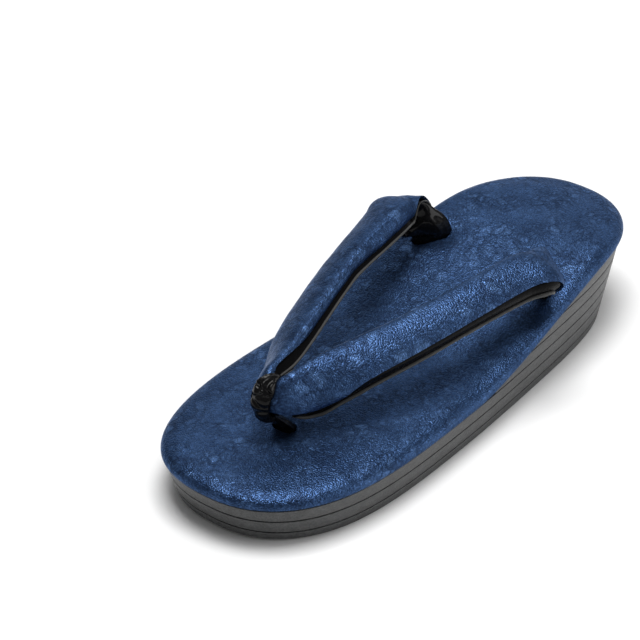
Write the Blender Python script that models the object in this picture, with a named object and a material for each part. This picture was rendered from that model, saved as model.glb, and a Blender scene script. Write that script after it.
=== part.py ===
# Zori sandal: a padded footbed on a stack of glued layers, with a V of padded straps that is held
# by a front loop between the toes and by a gathered end in a slot on each side.
# Metres. Toe at -Y, heel at +Y, floor at Z = 0, symmetric about X = 0.

import math

import bmesh
import bpy
from mathutils import Vector

# Plan of the footbed
SOLE_LENGTH = 0.245
BALL_WIDTH = 0.094
HEEL_WIDTH = 0.083
END_POWER = 4.3             # how far the sides run before the toe and heel turn in
END_ROUNDING = 2.3          # how round the toe and heel are; 2 is a true ellipse
TAPER_START = 0.15          # share of the length where the width starts to narrow
TAPER_END = 0.85

# Heights of the stack
OUTSOLE_THICKNESS = 0.0040
FULL_LAYER_THICKNESS = 0.0062
FULL_LAYERS = 2
HEEL_RISE = 0.0198          # heel deck above forefoot deck
WEDGE_LAYER_THICKNESS = 0.0066
WEDGE_START = -0.014        # where the deck starts to climb
WEDGE_RUN = 0.100           # length of the climb
HEEL_DIP = 0.0013           # the heel seat falls a little at its back
HEEL_DIP_LENGTH = 0.036
TOE_SPRING = 0.0015
TOE_SPRING_LENGTH = 0.046

# Side walls
OVERHANG = 0.0010           # footbed edge beyond the wall under it
SIDE_DRAFT = 0.136          # inward slope of the wall per unit of depth
TOE_DRAFT = 0.333
HEEL_DRAFT = 0.256
GROOVE_CHAMFER = 0.0005

# Footbed cushion
CUSHION_THICKNESS = 0.0072
PIECE_GAP = 0.0003

# Straps
STRAP_WIDTH = 0.0190
STRAP_THICKNESS = 0.0082
STRAP_WALL = 0.0016
STRAP_EDGE_MARGIN = 0.0090  # from the footbed's edge in to a strap's middle where it is widest
STRAP_SPREAD = 0.5 * BALL_WIDTH - STRAP_EDGE_MARGIN
STRAP_RISE = 0.0275         # highest that a strap's middle lies above the footbed
STRAP_CURL = 50             # degrees that the upper curls under at each edge
MOUTH_CURL = 18             # the same at the rear mouth, where the gathered end comes out
MOUTH_START = 0.90          # share of the strap where the curl starts to open
LINING_THICKNESS = 0.0014

# Front loop and post
LOOP_WIDTH = 0.0090
LOOP_THICKNESS = 0.0018
LOOP_WRAP = 0.46            # radius of the band's curve across, as a share of STRAP_WIDTH
POST_WIDTH = 0.0095
POST_DEPTH = 0.0060
POST_ALONG = 0.200          # share of the length, from the toe
HOLE_CLEARANCE = 0.0005

# Rear ends of the straps
END_THICKNESS = 0.0068
SLOT_WIDTH = 0.0150
SLOT_ALONG = 0.713
SLOT_EDGE_MARGIN = 0.0190   # from the widest part's edge in to a slot's middle
SLOT_OUT = 0.5 * BALL_WIDTH - SLOT_EDGE_MARGIN
SLOT_YAW = 50               # degrees from +X toward the toe

# Fineness of the curves
FLAT_RING_STATIONS = 40     # stations along each half of a sole piece's outline
CLOSEST_TURN = 0.02         # least step between two of them, in radians of turn
STRAP_STATIONS = 36         # along one strap
ARC_POINTS = 12             # across the strap's skin
LOOP_STEPS = 4              # sections of the loop's band for each row of its route
END_POINTS = 24             # round a strap's end
SLOT_POINTS = 20            # round a slot, and round the post
SLOPE_STEP = 0.0002         # step along the strap that its direction is taken from
LOOP_SLOPE_STEP = 0.05      # the same along the loop's route, in rows

# Route of the right strap's middle, from the front turn to the rear mouth. along is a share of
# SOLE_LENGTH from the toe, out of STRAP_SPREAD, rise of STRAP_RISE, width of STRAP_WIDTH and
# thick of STRAP_THICKNESS; tilt (outer edge down) and yaw (outer edge toward the toe) in degrees.
ROUTE_COLUMNS = ("along", "out", "rise", "width", "thick", "tilt", "yaw")
STRAP_ROUTE = (
    (0.1650, 0.000, 0.57, 0.72, 0.76, 78, 90),
    (0.1790, 0.146, 0.60, 0.94, 0.82, 76, 52),
    (0.2200, 0.235, 0.67, 0.98, 0.94, 62, 30),
    (0.2880, 0.395, 0.79, 1.00, 1.00, 40, 18),
    (0.3980, 0.605, 0.92, 0.95, 1.00, 33, 15),
    (0.5080, 0.771, 1.00, 0.92, 1.00, 32, 12),
    (0.6140, 0.897, 0.86, 0.97, 1.00, 24, 10),
    (0.6500, 0.965, 0.75, 1.02, 1.00, 16, 14),
    (0.6730, 0.960, 0.60, 1.05, 1.00, 8, 26),
    (0.6865, 0.870, 0.41, 1.04, 1.00, 0, 40),
    (0.6915, 0.797, 0.28, 1.00, 0.98, -4, 50),
)

# The lining along one strap, from the front turn (0) to the rear mouth (1): how far it hangs below
# the upper as a share of STRAP_THICKNESS, and its outer and inner reach as shares of the upper's.
LINING_COLUMNS = ("place", "drop", "outer", "inner")
LINING_SHAPE = (
    (0.00, 0.02, 0.80, 0.80),
    (0.08, 0.06, 1.05, 0.85),
    (0.13, 0.16, 1.40, 0.90),
    (0.20, 0.28, 1.16, 0.92),
    (0.28, 0.10, 1.06, 1.04),
    (0.40, 0.04, 1.03, 1.03),
    (0.85, 0.04, 1.02, 1.02),
    (1.00, 0.04, 0.90, 0.90),
)
LINING_START = 0.075
LINING_END = 0.920
CROTCH_GAP = 0.0005         # between the centre line and each lining where the straps meet

# Middle line of the loop's band around the strap, seen from the side: back as a share of
# STRAP_THICKNESS and up of STRAP_WIDTH, both from the strap's middle, then the width as a share
# of LOOP_WIDTH. POST_TOP_ROW is the row at the bottom, where the post starts.
LOOP_ROUTE = (
    (0.10, 0.510, 0.80),
    (-0.34, 0.420, 1.06),
    (-0.60, 0.120, 1.00),
    (-0.62, -0.150, 0.90),
    (-0.46, -0.480, 0.74),
    (0.10, -0.590, 0.70),
    (0.62, -0.440, 0.50),
    (0.88, -0.060, 0.36),
    (0.90, 0.200, 0.34),
    (0.62, 0.460, 0.44),
)
POST_TOP_ROW = 5
# Sections of the post from the loop's bottom (0) to the footbed's top (1): place, then width and
# depth as shares of POST_WIDTH and POST_DEPTH.
POST_SECTIONS = (
    (0.00, 0.86, 0.70),
    (0.45, 0.95, 0.92),
    (1.00, 1.00, 1.00),
)


def smooth_step(value):
    value = min(max(value, 0.0), 1.0)
    return value * value * (3.0 - 2.0 * value)


def half_width(along):
    """Half width of the footbed at a share of its length from the toe."""
    blend = smooth_step((along - TAPER_START) / (TAPER_END - TAPER_START))
    width = BALL_WIDTH + (HEEL_WIDTH - BALL_WIDTH) * blend
    reach = min(abs(2.0 * along - 1.0), 1.0)
    return 0.5 * width * (1.0 - reach ** END_POWER) ** (1.0 / END_ROUNDING)


def spring(y):
    """Lift of the toe above the floor."""
    reach = (-y - (0.5 * SOLE_LENGTH - TOE_SPRING_LENGTH)) / TOE_SPRING_LENGTH
    return TOE_SPRING * max(reach, 0.0) ** 2


FRONT_DECK = OUTSOLE_THICKNESS + FULL_LAYERS * FULL_LAYER_THICKNESS
REAR_DECK = FRONT_DECK + HEEL_RISE


def deck(y):
    """Top of the stack, which the footbed lies on."""
    climb = HEEL_RISE * smooth_step((y - WEDGE_START) / WEDGE_RUN)
    dip = HEEL_DIP * smooth_step((y - (0.5 * SOLE_LENGTH - HEEL_DIP_LENGTH)) / HEEL_DIP_LENGTH)
    return FRONT_DECK + climb - dip


def footbed_top(y):
    return deck(y) + spring(y) + CUSHION_THICKNESS


def outline_point(turn, inset, toe_inset, heel_inset):
    """Point of the right half of the outline; turn runs from 0 at the toe to pi at the heel."""
    along = 0.5 - 0.5 * math.cos(turn)
    y = (along - 0.5) * SOLE_LENGTH
    end_inset = toe_inset if y < 0.0 else heel_inset
    x = half_width(along) * (1.0 - inset / (0.5 * BALL_WIDTH))
    return x, y * (1.0 - end_inset / (0.5 * SOLE_LENGTH))


def new_material(name, color, roughness, metallic=0.0, coat=0.0):
    material = bpy.data.materials.new(name)
    material.use_nodes = True
    shader = material.node_tree.nodes["Principled BSDF"]
    shader.inputs["Base Color"].default_value = (*color, 1.0)
    shader.inputs["Roughness"].default_value = roughness
    shader.inputs["Metallic"].default_value = metallic
    shader.inputs["Coat Weight"].default_value = coat
    return material


def add_object(name, mesh_builder, material, smooth_angle=40):
    """Turn a bmesh into an object with smooth shading and faces pointing out."""
    bmesh.ops.remove_doubles(mesh_builder, verts=mesh_builder.verts, dist=0.00001)
    bmesh.ops.recalc_face_normals(mesh_builder, faces=mesh_builder.faces)
    mesh = bpy.data.meshes.new(name)
    mesh_builder.to_mesh(mesh)
    mesh_builder.free()
    mesh.shade_smooth()
    mesh.set_sharp_from_angle(angle=math.radians(smooth_angle))
    thing = bpy.data.objects.new(name, mesh)
    bpy.context.scene.collection.objects.link(thing)
    mesh.materials.append(material)
    return thing


def mirrored_slab(stations, front_cap):
    """Closed bmesh from right-hand section points at each station, from bottom to top.

    The left half mirrors them, and flat strips across join both halves below and above.
    """
    slab = bmesh.new()
    rows = []
    for points in stations:
        right = [slab.verts.new(point) for point in points]
        left = [slab.verts.new((-point[0], point[1], point[2])) for point in points]
        rows.append((right, left))
    for near, far in zip(rows, rows[1:]):
        for side in (0, 1):
            for index in range(len(near[side]) - 1):
                corners = (near[side][index], far[side][index],
                           far[side][index + 1], near[side][index + 1])
                slab.faces.new(corners if side == 0 else corners[::-1])
        for index, order in ((0, 1), (-1, -1)):
            corners = (near[0][index], near[1][index], far[1][index], far[0][index])
            slab.faces.new(corners[::order])
    if front_cap:
        right, left = rows[0]
        for index in range(len(right) - 1):
            slab.faces.new((right[index], right[index + 1], left[index + 1], left[index]))
    return slab


def wall_station(turn, low, high):
    """Chamfered wall of one layer at one place of its outline, from low to high."""
    plan_y = -0.5 * SOLE_LENGTH * math.cos(turn)

    def wall_point(height, cut):
        side = OVERHANG + cut + SIDE_DRAFT * (deck(plan_y) - height)
        toe = OVERHANG + cut + TOE_DRAFT * (FRONT_DECK - height)
        heel = OVERHANG + cut + HEEL_DRAFT * (REAR_DECK - height)
        x, y = outline_point(turn, side, toe, heel)
        return x, y, height + spring(plan_y)

    top = min(high, deck(plan_y) - PIECE_GAP)
    for _ in range(4):
        top = min(high, deck(wall_point(top, 0.0)[1]) - PIECE_GAP)
    chamfer = min(GROOVE_CHAMFER, 0.3 * (top - low))
    return [wall_point(low, chamfer), wall_point(low + chamfer, 0.0),
            wall_point(top - chamfer, 0.0), wall_point(top, chamfer)]


def first_turn_above(height):
    """Where the deck reaches a height, as a turn of the outline."""
    low, high = 0.0, math.pi * 0.75
    for _ in range(40):
        middle = 0.5 * (low + high)
        if deck(-0.5 * SOLE_LENGTH * math.cos(middle)) < height:
            low = middle
        else:
            high = middle
    return high


def add_layer(name, low, high, material):
    """A layer of the stack. A wedge layer starts where the deck has climbed past its bottom."""
    thinnest = 2.0 * GROOVE_CHAMFER
    turns = [math.pi * step / FLAT_RING_STATIONS for step in range(FLAT_RING_STATIONS + 1)]
    whole = low < FRONT_DECK - thinnest
    if not whole:
        start = first_turn_above(low + thinnest + PIECE_GAP)
        turns = [start] + [turn for turn in turns if turn > start + CLOSEST_TURN]
    stations = [wall_station(turn, low, high) for turn in turns]
    return add_object(name, mirrored_slab(stations, not whole), material, 30)


# Section of the footbed's edge and crown: inset from the outline as a share of half BALL_WIDTH,
# and height as a share of CUSHION_THICKNESS.
CUSHION_SECTION = (
    (0.060, 0.00),
    (0.032, 0.01),
    (0.010, 0.11),
    (0.000, 0.30),
    (0.006, 0.53),
    (0.026, 0.74),
    (0.062, 0.88),
    (0.130, 0.97),
    (0.300, 1.00),
    (0.560, 0.99),
    (0.860, 0.98),
)


def add_footbed(material):
    stations = []
    for step in range(FLAT_RING_STATIONS + 1):
        turn = math.pi * step / FLAT_RING_STATIONS
        points = []
        for share, height in CUSHION_SECTION:
            inset = share * 0.5 * BALL_WIDTH
            x, y = outline_point(turn, inset, inset, inset)
            points.append((x, y, deck(y) + spring(y) + height * CUSHION_THICKNESS))
        stations.append(points)
    return add_object("footbed", mirrored_slab(stations, False), material, 60)


def spline_value(keys, values, place):
    """Smooth curve through values at rising keys (a Catmull-Rom curve for uneven steps)."""
    place = min(max(place, keys[0]), keys[-1])
    index = 0
    while index < len(keys) - 2 and place > keys[index + 1]:
        index += 1
    slopes = []
    for knot in (index, index + 1):
        before = max(knot - 1, 0)
        after = min(knot + 1, len(keys) - 1)
        slopes.append((values[after] - values[before]) / (keys[after] - keys[before]))
    step = keys[index + 1] - keys[index]
    share = (place - keys[index]) / step
    square = share * share
    cube = square * share
    return ((2.0 * cube - 3.0 * square + 1.0) * values[index]
            + (cube - 2.0 * square + share) * step * slopes[0]
            + (3.0 * square - 2.0 * cube) * values[index + 1]
            + (cube - square) * step * slopes[1])


def strap_point(row):
    """Middle of the right strap at one row of its route."""
    entry = dict(zip(ROUTE_COLUMNS, row))
    y = (entry["along"] - 0.5) * SOLE_LENGTH
    return Vector((entry["out"] * STRAP_SPREAD, y, footbed_top(y) + entry["rise"] * STRAP_RISE))


def strap_frames():
    """Middle, outward and upward directions and half sizes along one strap, front to rear."""
    knots = [strap_point(row) for row in STRAP_ROUTE]
    keys = [0.0]
    for before, after in zip(knots, knots[1:]):
        keys.append(keys[-1] + (after - before).length)
    # The front turn lies on the centre line, so the curve there is mirrored for its slope.
    mirrored = Vector((-knots[1].x, knots[1].y, knots[1].z))
    long_keys = [-keys[1]] + keys
    long_knots = [mirrored] + knots
    long_rows = [STRAP_ROUTE[1][:6] + (180 - STRAP_ROUTE[1][6],)] + list(STRAP_ROUTE)

    def point(place):
        return Vector([spline_value(long_keys, [knot[axis] for knot in long_knots], place)
                       for axis in range(3)])

    def column(name, place):
        index = ROUTE_COLUMNS.index(name)
        return spline_value(long_keys, [row[index] for row in long_rows], place)

    frames = []
    for step in range(STRAP_STATIONS + 1):
        place = keys[-1] * step / STRAP_STATIONS
        low = max(place - SLOPE_STEP, -keys[1])
        high = min(place + SLOPE_STEP, keys[-1])
        forward = (point(high) - point(low)).normalized()
        tilt = math.radians(column("tilt", place))
        yaw = math.radians(column("yaw", place))
        outward = Vector((math.cos(tilt) * math.cos(yaw), -math.cos(tilt) * math.sin(yaw),
                          -math.sin(tilt)))
        outward = (outward - outward.dot(forward) * forward).normalized()
        upward = outward.cross(forward)
        frames.append({
            "share": step / STRAP_STATIONS,
            "middle": point(place),
            "outward": outward,
            "upward": upward,
            "half_width": 0.5 * STRAP_WIDTH * column("width", place),
            "half_thickness": 0.5 * STRAP_THICKNESS * column("thick", place),
        })
    return frames


def mirror_frame(frame):
    flip = Vector((-1.0, 1.0, 1.0))
    turned = dict(frame)
    turned["middle"] = frame["middle"] * flip
    turned["outward"] = frame["outward"] * flip
    turned["upward"] = frame["upward"] * flip
    return turned


def place_in_frame(frame, across, height):
    return frame["middle"] + across * frame["outward"] + height * frame["upward"]


def curl_at(share):
    """Angle in radians that the upper curls under at a share of the strap's length."""
    opening = smooth_step((share - MOUTH_START) / (1.0 - MOUTH_START))
    return math.radians(STRAP_CURL + (MOUTH_CURL - STRAP_CURL) * opening)


def add_strap_upper(frames, material):
    """One skin over both straps: an open C in section, joined at the front turn."""
    route = [mirror_frame(frame) for frame in frames[:0:-1]] + frames
    skin = bmesh.new()
    rings = []
    for frame in route:
        wide, thick = frame["half_width"], frame["half_thickness"]
        curl = curl_at(frame["share"])
        ring = []
        for shrink in (0.0, STRAP_WALL):
            for step in range(ARC_POINTS + 1):
                angle = -curl + (math.pi + 2.0 * curl) * step / ARC_POINTS
                across = (wide - shrink) * math.cos(angle)
                height = (thick - shrink) * math.sin(angle)
                ring.append(skin.verts.new(place_in_frame(frame, across, height)))
        rings.append(ring)
    count = ARC_POINTS + 1
    for near, far in zip(rings, rings[1:]):
        for step in range(ARC_POINTS):
            skin.faces.new((near[step], far[step], far[step + 1], near[step + 1]))
            inner = count + step
            skin.faces.new((near[inner], near[inner + 1], far[inner + 1], far[inner]))
        for edge in (0, ARC_POINTS):
            skin.faces.new((near[edge], near[count + edge], far[count + edge], far[edge]))
    for ring in (rings[0], rings[-1]):
        for step in range(ARC_POINTS):
            skin.faces.new((ring[step], ring[step + 1], ring[count + step + 1], ring[count + step]))
    return add_object("strap_upper", skin, material, 50)


def tube_from_rings(rings):
    """Closed bmesh through rings of equal point counts, with both ends filled."""
    tube = bmesh.new()
    loops = [[tube.verts.new(point) for point in ring] for ring in rings]
    for near, far in zip(loops, loops[1:]):
        for index in range(len(near)):
            following = (index + 1) % len(near)
            tube.faces.new((near[index], near[following], far[following], far[index]))
    tube.faces.new(loops[0])
    tube.faces.new(loops[-1])
    return tube


def lining_value(name, place):
    index = LINING_COLUMNS.index(name)
    places = [row[0] for row in LINING_SHAPE]
    return spline_value(places, [row[index] for row in LINING_SHAPE], place)


def add_strap_lining(name, frames, material):
    """Thin band that closes the upper from below, with its edges showing past the curl."""
    lip = math.sin(math.radians(STRAP_CURL))
    rings = []
    for frame in frames:
        share = frame["share"]
        if not LINING_START <= share <= LINING_END:
            continue
        drop = lining_value("drop", share) * STRAP_THICKNESS
        top = -(frame["half_thickness"] * lip + PIECE_GAP + drop)
        low = top - LINING_THICKNESS
        middle = 0.5 * (top + low)
        outer = lining_value("outer", share) * frame["half_width"]
        inner = lining_value("inner", share) * frame["half_width"]
        side = math.copysign(1.0, frame["middle"].x)
        edge_x = side * place_in_frame(frame, -inner, middle).x
        if edge_x < CROTCH_GAP + LINING_THICKNESS:
            inner -= (CROTCH_GAP + LINING_THICKNESS - edge_x) / abs(frame["outward"].x)
        bevel = 0.5 * LINING_THICKNESS
        section = ((-inner + bevel, top), (-inner, middle), (-inner + bevel, low),
                   (outer - bevel, low), (outer, middle), (outer - bevel, top))
        rings.append([place_in_frame(frame, across, height) for across, height in section])
    return add_object(name, tube_from_rings(rings), material, 50)


def stadium(width, depth):
    """Rounded slot outline: points around it, width along X and depth along Y."""
    radius = 0.5 * depth
    straight = 0.5 * width - radius
    points = []
    for step in range(SLOT_POINTS):
        angle = 2.0 * math.pi * (step + 0.5) / SLOT_POINTS
        shift = straight if math.cos(angle) > 0.0 else -straight
        points.append((shift + radius * math.cos(angle), radius * math.sin(angle)))
    return points


def post_place():
    y = (POST_ALONG - 0.5) * SOLE_LENGTH
    return Vector((0.0, y, footbed_top(y)))


def slot_place(side):
    y = (SLOT_ALONG - 0.5) * SOLE_LENGTH
    return Vector((side * SLOT_OUT, y, footbed_top(y)))


def slot_axes(side):
    yaw = math.radians(SLOT_YAW)
    along = Vector((side * math.cos(yaw), -math.sin(yaw), 0.0))
    across = Vector((math.sin(yaw) * side, math.cos(yaw), 0.0))
    return along, across


# Sections of a strap's rear end. Up to 1, place is a share of the strap's length, inside the
# upper; from 1 to 2 it runs from the mouth to the footbed's top, and from 2 to 3 down the slot.
# width is a share of the room inside the upper's mouth, above is the half thickness on the
# upper's side and below the other one, as shares of END_THICKNESS.
END_COLUMNS = ("place", "width", "above", "below")
END_SECTIONS = (
    (0.917, 0.66, 0.16, 0.22),
    (0.944, 0.80, 0.20, 0.32),
    (0.972, 0.88, 0.26, 0.40),
    (1.000, 0.92, 0.28, 0.46),
    (1.350, 1.00, 0.36, 0.50),
    (1.700, 1.03, 0.44, 0.50),
    (2.000, 0.96, 0.45, 0.45),
    (3.000, 0.96, 0.45, 0.45),
)


def frame_at(frames, share):
    """Frame of the strap nearest to a share of its length."""
    return min(frames, key=lambda frame: abs(frame["share"] - share))


def add_strap_end(name, side, frames, material):
    """Gathered patent end: a flat tongue out of the strap's mouth that narrows into its slot."""
    mouth = frames[-1]["middle"]
    room = frames[-1]["half_width"] - STRAP_WALL - PIECE_GAP
    surface = slot_place(side)
    floor = Vector((surface.x, surface.y, deck(surface.y + 0.5 * SLOT_WIDTH) + PIECE_GAP))
    along, across = slot_axes(side)
    rings = []
    for row in END_SECTIONS:
        entry = dict(zip(END_COLUMNS, row))
        place = entry["place"]
        frame = frame_at(frames, place)
        if place <= 1.0:
            middle = frame["middle"]
        elif place <= 2.0:
            middle = mouth.lerp(surface, place - 1.0)
        else:
            middle = surface.lerp(floor, place - 2.0)
        blend = min(max(place - 1.0, 0.0), 1.0)
        wide_axis = (frame["outward"] * (1.0 - blend) + along * blend).normalized()
        thin_axis = (frame["upward"] * (1.0 - blend) + across * blend).normalized()
        ring = []
        for step in range(END_POINTS):
            angle = 2.0 * math.pi * (step + 0.5) / END_POINTS
            depth = entry["above"] if math.sin(angle) > 0.0 else entry["below"]
            ring.append(middle + entry["width"] * room * math.cos(angle) * wide_axis
                        + depth * END_THICKNESS * math.sin(angle) * thin_axis)
        rings.append(ring)
    return add_object(name, tube_from_rings(rings), material, 50)


def add_front_loop(frames, material):
    """Band around the straps' front turn, with a tapered post down into the front hole."""
    centre = frames[0]["middle"]
    count = len(LOOP_ROUTE)
    # The route is closed, so a few rows are repeated beyond both of its ends.
    keys = list(range(-2, count + 3))
    rows = [LOOP_ROUTE[key % count] for key in keys]

    def column(index, place):
        return spline_value(keys, [row[index] for row in rows], place)

    def band_middle(place):
        return Vector((0.0, column(0, place) * STRAP_THICKNESS, column(1, place) * STRAP_WIDTH))

    band = bmesh.new()
    rings = []
    for number in range(count * LOOP_STEPS):
        place = number / LOOP_STEPS
        middle = band_middle(place)
        forward = (band_middle(place + LOOP_SLOPE_STEP) - middle).normalized()
        outward = Vector((1.0, 0.0, 0.0)).cross(forward)
        half = 0.5 * column(2, place) * LOOP_WIDTH
        wrap_radius = LOOP_WRAP * STRAP_WIDTH
        ring = []
        for share, layer in ((-1.0, 0.5), (-0.5, 0.5), (0.0, 0.5), (0.5, 0.5), (1.0, 0.5),
                             (1.0, -0.5), (0.5, -0.5), (0.0, -0.5), (-0.5, -0.5), (-1.0, -0.5)):
            x = share * half
            wrap = wrap_radius - math.sqrt(wrap_radius ** 2 - x ** 2)
            offset = outward * (layer * LOOP_THICKNESS - wrap)
            ring.append(band.verts.new(centre + middle + offset + Vector((x, 0.0, 0.0))))
        rings.append(ring)
    for near, far in zip(rings, rings[1:] + rings[:1]):
        for index in range(len(near)):
            following = (index + 1) % len(near)
            band.faces.new((near[index], near[following], far[following], far[index]))
    loop = add_object("front_loop", band, material, 50)

    back, up = LOOP_ROUTE[POST_TOP_ROW][:2]
    top = centre + Vector((0.0, back * STRAP_THICKNESS, up * STRAP_WIDTH))
    surface = post_place()
    foot = Vector((surface.x, surface.y, deck(surface.y) + 2.0 * PIECE_GAP))
    stages = [(top.lerp(surface, place), width, depth) for place, width, depth in POST_SECTIONS]
    stages.append((foot, *POST_SECTIONS[-1][1:]))
    rings = []
    for middle, width, depth in stages:
        ring = []
        for u, v in stadium(width * POST_WIDTH, depth * POST_DEPTH):
            ring.append(middle + Vector((u, v, 0.0)))
        rings.append(ring)
    post = add_object("post_blank", tube_from_rings(rings), material, 50)
    join(loop, post)
    return loop


def join(target, extra):
    """Fuse one object into another with an applied union."""
    fuse = target.modifiers.new("fuse", "BOOLEAN")
    fuse.operation = "UNION"
    fuse.solver = "EXACT"
    fuse.object = extra
    graph = bpy.context.evaluated_depsgraph_get()
    fused = bpy.data.meshes.new_from_object(target.evaluated_get(graph))
    target.modifiers.clear()
    target.data = fused
    fused.shade_smooth()
    fused.set_sharp_from_angle(angle=math.radians(50))
    bpy.data.objects.remove(extra)


def add_hole_cutter(name, place, wide_axis, thin_axis, width, depth):
    rings = []
    for height in (-2.0 * CUSHION_THICKNESS, CUSHION_THICKNESS):
        ring = []
        for u, v in stadium(width + 2.0 * HOLE_CLEARANCE, depth + 2.0 * HOLE_CLEARANCE):
            ring.append(place + u * wide_axis + v * thin_axis + Vector((0.0, 0.0, height)))
        rings.append(ring)
    cutter = add_object(name, tube_from_rings(rings), new_material(name, (0.5, 0.5, 0.5), 0.5))
    cutter.hide_render = True
    cutter.display_type = "WIRE"
    return cutter


def cut_holes(footbed):
    x_axis = Vector((1.0, 0.0, 0.0))
    y_axis = Vector((0.0, 1.0, 0.0))
    cutters = [add_hole_cutter("front_hole_cutter", post_place(), x_axis, y_axis,
                               POST_WIDTH, POST_DEPTH)]
    for side, label in ((1, "right"), (-1, "left")):
        along, across = slot_axes(side)
        cutters.append(add_hole_cutter("slot_cutter_" + label, slot_place(side), along, across,
                                       SLOT_WIDTH, END_THICKNESS))
    for cutter in cutters:
        cut = footbed.modifiers.new(cutter.name, "BOOLEAN")
        cut.operation = "DIFFERENCE"
        cut.solver = "EXACT"
        cut.object = cutter


def build():
    for thing in list(bpy.data.objects):
        bpy.data.objects.remove(thing)

    rubber = new_material("outsole_rubber", (0.018, 0.018, 0.020), 0.62)
    side_leather = new_material("side_leather", (0.030, 0.030, 0.034), 0.48)
    pearl_leather = new_material("pearl_leather", (0.030, 0.085, 0.210), 0.42, 0.55)
    patent = new_material("black_patent", (0.006, 0.006, 0.007), 0.12, 0.0, 1.0)

    add_layer("outsole", 0.0, OUTSOLE_THICKNESS - PIECE_GAP, rubber)
    low = OUTSOLE_THICKNESS
    for number in range(FULL_LAYERS):
        add_layer("sole_layer_%d" % (number + 1), low, low + FULL_LAYER_THICKNESS - PIECE_GAP,
                  side_leather)
        low += FULL_LAYER_THICKNESS
    wedges = max(round(HEEL_RISE / WEDGE_LAYER_THICKNESS), 1)
    step = HEEL_RISE / wedges
    for number in range(wedges):
        add_layer("wedge_layer_%d" % (number + 1), low, low + step - PIECE_GAP, side_leather)
        low += step

    footbed = add_footbed(pearl_leather)
    cut_holes(footbed)

    frames = strap_frames()
    add_strap_upper(frames, pearl_leather)
    add_strap_lining("strap_lining_right", frames, patent)
    mirrored = [mirror_frame(frame) for frame in frames]
    add_strap_lining("strap_lining_left", mirrored, patent)
    add_strap_end("strap_end_right", 1, frames, patent)
    add_strap_end("strap_end_left", -1, mirrored, patent)
    add_front_loop(frames, patent)


build()
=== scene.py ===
import math

import bmesh
import bpy
from mathutils import Matrix, Vector, noise


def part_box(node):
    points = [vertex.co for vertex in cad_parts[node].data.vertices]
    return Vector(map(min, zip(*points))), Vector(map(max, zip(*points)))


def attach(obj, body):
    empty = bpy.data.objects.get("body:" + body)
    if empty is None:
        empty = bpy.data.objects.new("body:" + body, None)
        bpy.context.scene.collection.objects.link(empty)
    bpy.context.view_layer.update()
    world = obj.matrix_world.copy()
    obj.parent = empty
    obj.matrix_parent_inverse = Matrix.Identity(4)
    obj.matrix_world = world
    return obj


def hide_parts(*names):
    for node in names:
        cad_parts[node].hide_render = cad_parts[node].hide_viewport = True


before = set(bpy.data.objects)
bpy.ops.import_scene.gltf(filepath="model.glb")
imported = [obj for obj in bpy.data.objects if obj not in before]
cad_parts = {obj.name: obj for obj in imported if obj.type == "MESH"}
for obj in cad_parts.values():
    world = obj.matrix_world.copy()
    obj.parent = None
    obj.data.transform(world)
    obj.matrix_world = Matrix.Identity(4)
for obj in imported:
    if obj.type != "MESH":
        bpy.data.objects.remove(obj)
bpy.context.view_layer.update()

# Zori sandal with a pearl leather footbed and straps, on a plain pale floor.
# Metres, toe at -Y, heel at +Y, floor at Z = 0. The near side in the main view is +X.

soleLow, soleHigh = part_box("footbed")
soleLength = soleHigh.y - soleLow.y

# The stack's plan and heights, which every piece of the sandal is set out from
sole = {
    "ballWidth": 0.094,
    "heelWidth": 0.083,
    "endPower": 4.3,
    "endRounding": 2.3,
    "taperStart": 0.15,
    "taperEnd": 0.85,
    "frontDeck": 0.0164,       # top of the layers under the forefoot
    "heelRise": 0.0198,
    "climbStart": -0.014,
    "climbLength": 0.100,
    "heelDip": 0.0013,
    "heelDipLength": 0.036,
    "toeSpring": 0.0015,
    "toeSpringLength": 0.046,
    "cushion": 0.0072,
}


def smoothStep(value):
    value = min(max(value, 0.0), 1.0)
    return value * value * (3.0 - 2.0 * value)


def halfWidthAt(along):
    blend = smoothStep((along - sole["taperStart"]) / (sole["taperEnd"] - sole["taperStart"]))
    width = sole["ballWidth"] + (sole["heelWidth"] - sole["ballWidth"]) * blend
    reach = min(abs(2.0 * along - 1.0), 1.0)
    return 0.5 * width * (1.0 - reach ** sole["endPower"]) ** (1.0 / sole["endRounding"])


def springAt(y):
    reach = (-y - (0.5 * soleLength - sole["toeSpringLength"])) / sole["toeSpringLength"]
    return sole["toeSpring"] * max(reach, 0.0) ** 2


def deckAt(y):
    climb = sole["heelRise"] * smoothStep((y - sole["climbStart"]) / sole["climbLength"])
    dipStart = 0.5 * soleLength - sole["heelDipLength"]
    dip = sole["heelDip"] * smoothStep((y - dipStart) / sole["heelDipLength"])
    return sole["frontDeck"] + climb - dip


def footbedTop(y):
    return deckAt(y) + springAt(y) + sole["cushion"]


def outlinePoint(turn, inset, toeInset, heelInset):
    # turn runs from 0 at the toe to pi at the heel, on the right half
    along = 0.5 - 0.5 * math.cos(turn)
    y = (along - 0.5) * soleLength
    endInset = toeInset if y < 0.0 else heelInset
    x = halfWidthAt(along) * (1.0 - inset / (0.5 * sole["ballWidth"]))
    return x, y * (1.0 - endInset / (0.5 * soleLength))


def splineAt(keys, values, place):
    # smooth curve through values at rising keys
    place = min(max(place, keys[0]), keys[-1])
    index = 0
    while index < len(keys) - 2 and place > keys[index + 1]:
        index += 1
    slopes = []
    for knot in (index, index + 1):
        before = max(knot - 1, 0)
        after = min(knot + 1, len(keys) - 1)
        slopes.append((values[after] - values[before]) / (keys[after] - keys[before]))
    step = keys[index + 1] - keys[index]
    share = (place - keys[index]) / step
    square = share * share
    cube = square * share
    return ((2.0 * cube - 3.0 * square + 1.0) * values[index]
            + (cube - 2.0 * square + share) * step * slopes[0]
            + (3.0 * square - 2.0 * cube) * values[index + 1]
            + (cube - square) * step * slopes[1])


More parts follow.
